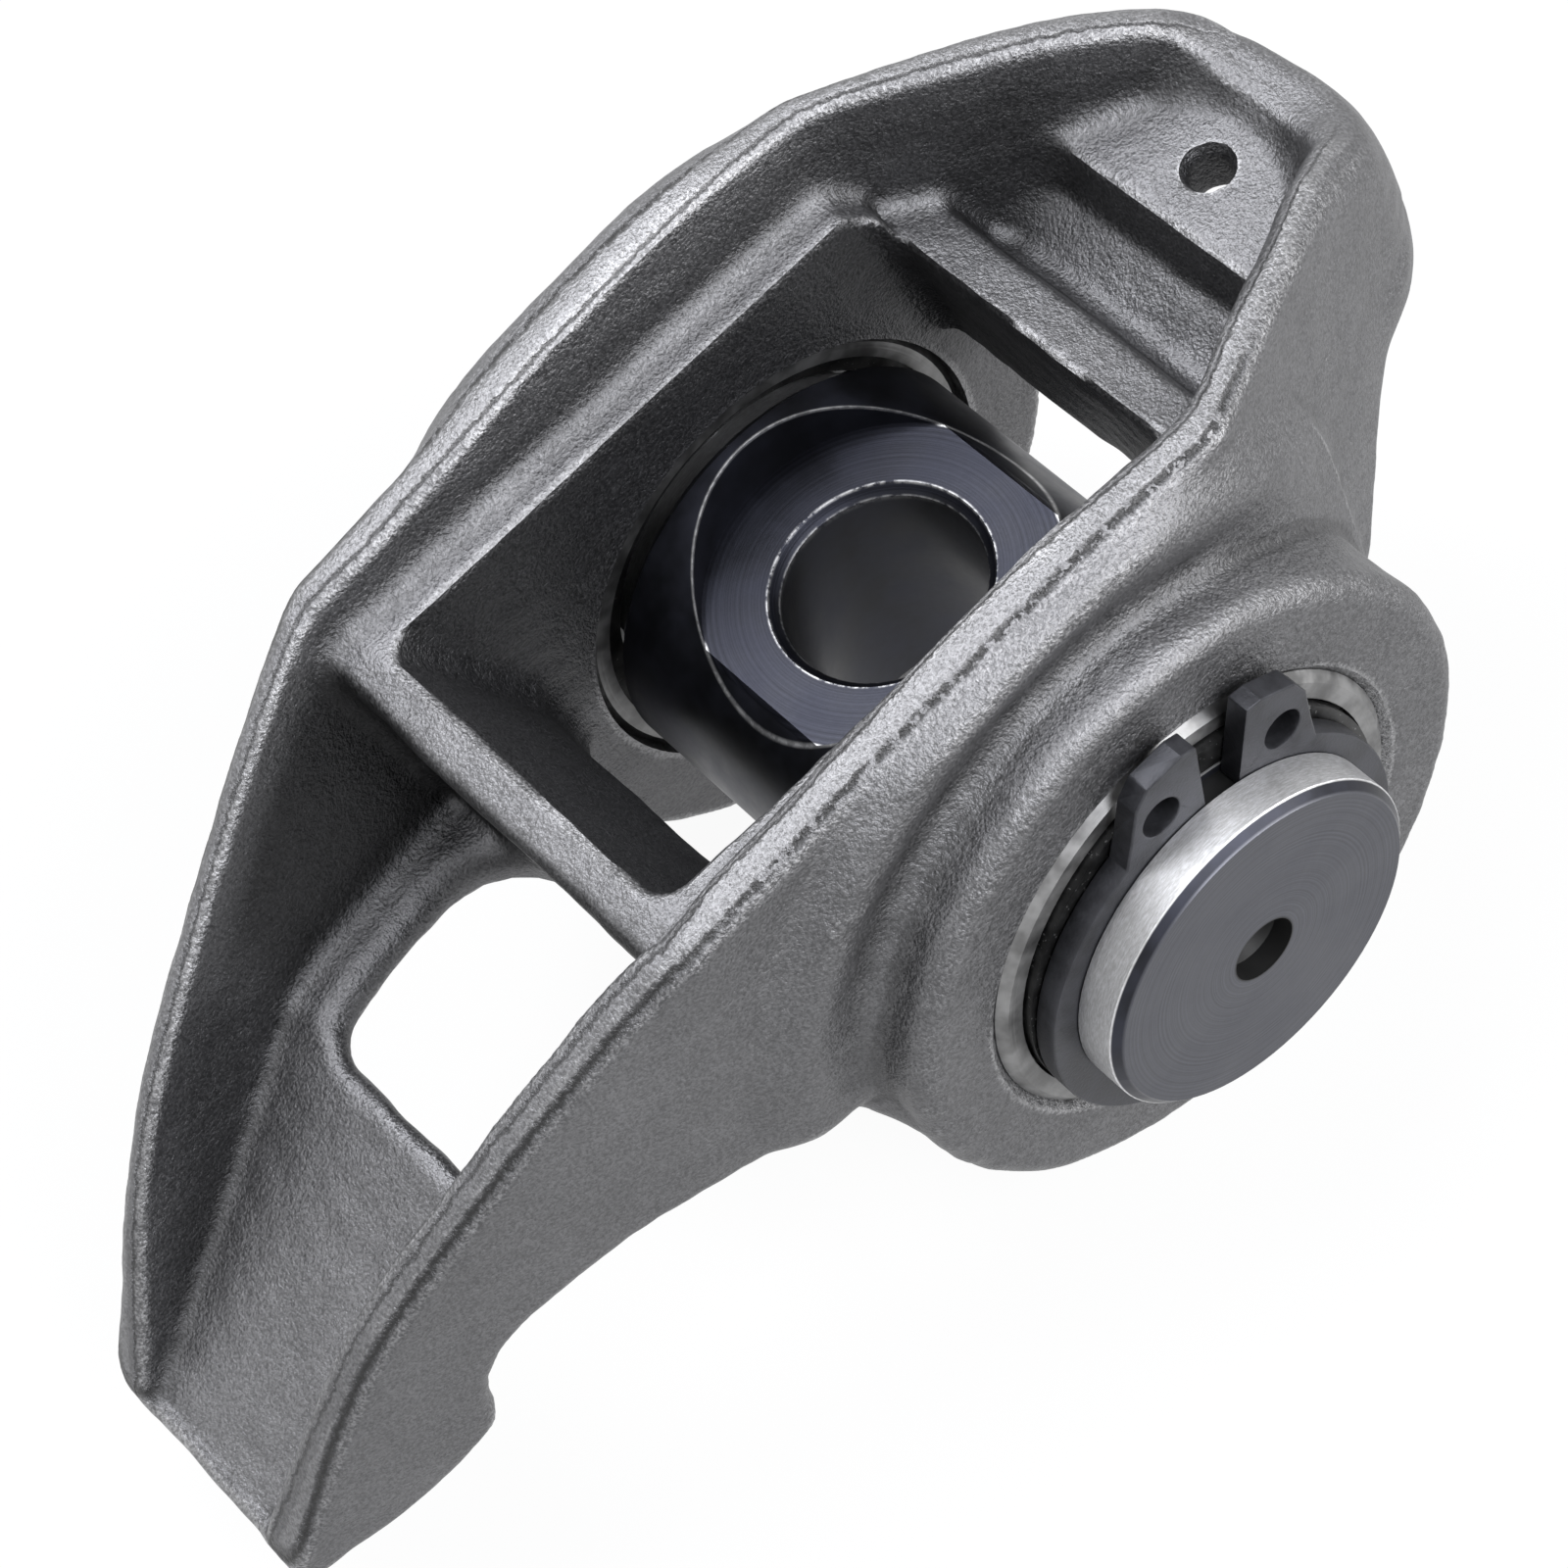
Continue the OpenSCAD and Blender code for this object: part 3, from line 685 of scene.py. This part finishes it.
def trunnion_steel():
    m = Finish("turned_black_oxide")
    pivot_r = m.radius(m.x, m.z)
    bolt_r = m.radius(m.x, m.y)
    out = abs(m.y)
    haze = m.noise(3.0, 3.0, 0.6)
    fine = m.noise(0.25, 3.0, 0.6)
    nicks = m.noise(0.5, 4.0, 0.7).rise(0.38, 0.62)
    end_rings = m.noise(0.09, 2.0, 0.5, m.rings(pivot_r))
    floor_rings = m.noise(0.12, 3.0, 0.6, m.rings(bolt_r))
    scratches = m.noise(0.35, 4.0, 0.7, m.stretched(1.0, 6.0, 1.0))

    journal = out.rise(BLOCK_HALF, BLOCK_HALF + 0.05) * pivot_r.rise(JOURNAL_R - 0.03, JOURNAL_R + 0.02)
    journal = journal * (1 - out.rise(CHAMFER - 0.03, CHAMFER + 0.07))
    groove = pivot_r.rise(GROOVE_R + 0.04, GROOVE_R - 0.04) * out.rise(GROOVE[0] - 0.05, GROOVE[0] + 0.05)
    groove = groove * out.rise(GROOVE[1] + 0.05, GROOVE[1] - 0.05)
    end = out.rise(END_FACE - 0.04, END_FACE + 0.04)
    centre_hole = pivot_r.rise(CENTRE_HOLE_R + 0.05, CENTRE_HOLE_R - 0.05) * out.rise(15.0, 15.2)
    spotface = bolt_r.rise(SPOTFACE_R + 0.08, SPOTFACE_R - 0.02)
    spotface = spotface * m.z.rise(SPOTFACE_Z + 0.04, SPOTFACE_Z - 0.04)
    spotface = spotface * m.z.rise(SPOTFACE_Z - 0.26, SPOTFACE_Z - 0.16)
    block_edge = pivot_r.rise(BLOCK_R - 0.08, BLOCK_R + 0.06) + out.rise(BLOCK_HALF - 0.3, BLOCK_HALF - 0.15)
    rim = bolt_r.band(SPOTFACE_R, 0.12) * block_edge.least(1.0)
    bore_edge = (bolt_r.band(CHAMFER_R, 0.09) * 0.6 + bolt_r.band(BOLT_R, 0.07) * 0.5) * m.z.band(6.1, 0.6)
    worn = (rim * nicks.rise(0.0, 1.0, 0.55, 1.0) + bore_edge * nicks).least(1.0)

    black = m.mix(haze.rise(0.3, 0.7), grey(0.018, 0.15), grey(0.037, 0.25))
    satin = m.mix(scratches.rise(0.3, 0.75), grey(0.45), grey(0.72, 0.02))
    satin = m.mix(out.rise(13.0, 11.0) * 0.5, satin, grey(0.12))
    turned_floor = m.mix(floor_rings.rise(0.35, 0.7), grey(0.014, 0.3), grey(0.038, 0.27))
    turned_end = m.mix(end_rings.rise(0.3, 0.7), grey(0.07, 0.1), grey(0.1, 0.12))
    colour = m.mix(journal, black, satin)
    colour = m.mix(spotface, colour, turned_floor)
    colour = m.mix(end, colour, turned_end)
    colour = m.mix(groove, colour, grey(0.04))
    # Painted shade: the centre hole is coloured near black
    colour = m.mix(centre_hole, colour, grey(0.03))
    colour = m.mix(worn, colour, grey(0.75))
    rough = haze.rise(0.3, 0.7, 0.3, 0.42) + journal * 0.02 + centre_hole * 0.2 + fine * 0.08
    height = floor_rings * spotface * 0.8 + end_rings * end * 0.35 + scratches * journal * 0.4 + fine * 0.12
    return m.finish(colour, 0.85, rough, height, 0.02)


def ring_steel():
    m = Finish("phosphated_spring_steel")
    haze = m.noise(1.2, 3.0, 0.6)
    fine = m.noise(0.12, 3.0, 0.6)
    colour = m.mix(haze.rise(0.3, 0.7), grey(0.035, 0.1), grey(0.06, 0.1))
    return m.finish(colour, 0.7, haze.rise(0.3, 0.7, 0.34, 0.46), fine, 0.012)


def drawn_cup_steel():
    m = Finish("drawn_cup_steel")
    pivot_r = m.radius(m.x, m.z)
    rings = m.noise(0.1, 2.0, 0.5, m.rings(pivot_r))
    smear = m.noise(1.6, 3.0, 0.6)
    colour = m.mix(smear.rise(0.3, 0.7), grey(0.12), grey(0.27))
    return m.finish(colour, 0.9, smear.rise(0.3, 0.7, 0.36, 0.5), rings * 0.5 + smear * 0.5, 0.015)


def dark_oiled_steel(name):
    m = Finish(name)
    haze = m.noise(0.8, 3.0, 0.6)
    specks = m.noise(0.18, 2.0, 0.6).rise(0.66, 0.72)
    colour = m.mix(haze.rise(0.3, 0.7), grey(0.015), grey(0.04))
    colour = m.mix(specks * 0.6, colour, grey(0.35))
    return m.finish(colour, 0.7, haze.rise(0.3, 0.7, 0.28, 0.42), haze, 0.015)


def needle_steel():
    m = Finish("ground_needle_steel")
    streak = m.noise(0.3, 3.0, 0.6, m.stretched(1.0, 5.0, 1.0))
    colour = m.mix(streak.rise(0.3, 0.7), grey(0.5), grey(0.7))
    return m.finish(colour, 1.0, streak.rise(0.3, 0.7, 0.14, 0.24), streak, 0.004)


def paint(piece, material):
    piece.data.materials.clear()
    piece.data.materials.append(material)


def eased_edges(piece, width):
    """Breaks the sharp edges of a machined CAD piece."""
    weld = piece.modifiers.new("weld", "WELD")
    weld.merge_threshold = 1e-6
    bevel = piece.modifiers.new("bevel", "BEVEL")
    bevel.width = width * MM
    bevel.segments = 2
    bevel.limit_method = "ANGLE"
    bevel.angle_limit = math.radians(30)


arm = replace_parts(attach(arm_casting(), "arm"), "arm_casting")
paint(arm, cast_steel())
paint(nodes["trunnion"], trunnion_steel())
ring, cup = ring_steel(), drawn_cup_steel()
washer, cage = dark_oiled_steel("oiled_washer_steel"), dark_oiled_steel("oiled_cage_steel")
needle = needle_steel()
for side in ["near", "far"]:
    paint(nodes[f"snap_ring_{side}"], ring)
    paint(nodes[f"bearing_cup_{side}"], cup)
    paint(nodes[f"thrust_washer_{side}"], washer)
    paint(nodes[f"needle_cage_{side}"], cage)
    for number in range(1, 15):
        paint(nodes[f"needle_{side}_{number:02d}"], needle)
    eased_edges(nodes[f"snap_ring_{side}"], 0.07)


# Floor, light and camera

def floor():
    bpy.ops.mesh.primitive_plane_add(size=6, location=(0, 0, cad_box[0].z - 0.0002))
    plane = bpy.context.object
    plane.name = "floor"
    material = bpy.data.materials.new("pale_floor")
    material.use_nodes = True
    tree = NodeTree(material.node_tree)
    matt = material.node_tree.nodes["Principled BSDF"]
    matt.inputs["Base Color"].default_value = (0.93, 0.93, 0.93, 1)
    matt.inputs["Roughness"].default_value = 0.9
    matt.inputs["Specular IOR Level"].default_value = 0.1
    white = tree.node("ShaderNodeEmission", {}, Strength=1.0)
    lit = Wire(tree, matt.outputs[0])
    blend = tree.node("ShaderNodeMixShader", {}, tree.seen_directly(0.94), lit, white)
    tree.link(blend, material.node_tree.nodes["Material Output"].inputs["Surface"])
    plane.data.materials.append(material)


def studio_world():
    world = bpy.data.worlds.new("studio")
    bpy.context.scene.world = world
    world.use_nodes = True
    tree = NodeTree(world.node_tree)
    backdrop = world.node_tree.nodes["Background"]
    backdrop.inputs["Color"].default_value = (1, 1, 1, 1)
    backdrop.inputs["Strength"].default_value = 1.0
    ambient = tree.node("ShaderNodeBackground", {}, Color=(0.9, 0.94, 1.0, 1), Strength=0.09)
    white = Wire(tree, backdrop.outputs[0])
    blend = tree.node("ShaderNodeMixShader", {}, tree.seen_directly(1.0), ambient, white)
    tree.link(blend, world.node_tree.nodes["World Output"].inputs["Surface"])


def softbox(name, place, aim, size, power, colour):
    lamp = bpy.data.lights.new(name, "AREA")
    lamp.shape = "RECTANGLE"
    lamp.size, lamp.size_y = size
    lamp.energy = power
    lamp.color = colour
    holder = bpy.data.objects.new(name, lamp)
    bpy.context.scene.collection.objects.link(holder)
    holder.location = place
    holder.rotation_euler = (Vector(aim) - Vector(place)).to_track_quat("-Z", "Y").to_euler()


def photo_camera():
    camera = bpy.data.cameras.new("camera")
    camera.lens = 106.83
    camera.sensor_width = 36
    camera.clip_start, camera.clip_end = 0.01, 20
    holder = bpy.data.objects.new("camera", camera)
    bpy.context.scene.collection.objects.link(holder)
    holder.location = (0.032003, 0.095065, 0.150417)
    right = Vector((-0.71706105, 0.63583397, -0.28554967))
    up = -Vector((0.68322502, 0.56011233, -0.46848453))
    back = -Vector((-0.13793848, -0.53102669, -0.83605241))
    holder.rotation_euler = Matrix((right, up, back)).transposed().to_euler()
    bpy.context.scene.camera = holder


photo_camera()
studio_world()
floor()
centre = (0.008, 0, 0.004)
softbox("top_softbox", (0.0, -0.24, 0.5), centre, (0.4, 0.4), 3.2, (0.95, 0.96, 1.0))
softbox("front_softbox", (-0.13, 0.44, 0.38), centre, (0.5, 0.3), 3.8, (0.95, 0.96, 1.0))
softbox("tip_softbox", (0.38, -0.27, 0.23), centre, (0.25, 0.25), 0.15, (1.0, 1.0, 1.0))
softbox("rear_fill", (-0.3, 0.4, 0.08), centre, (0.35, 0.16), 1.5, (1.0, 0.99, 0.97))
bpy.context.scene.view_settings.view_transform = "Standard"
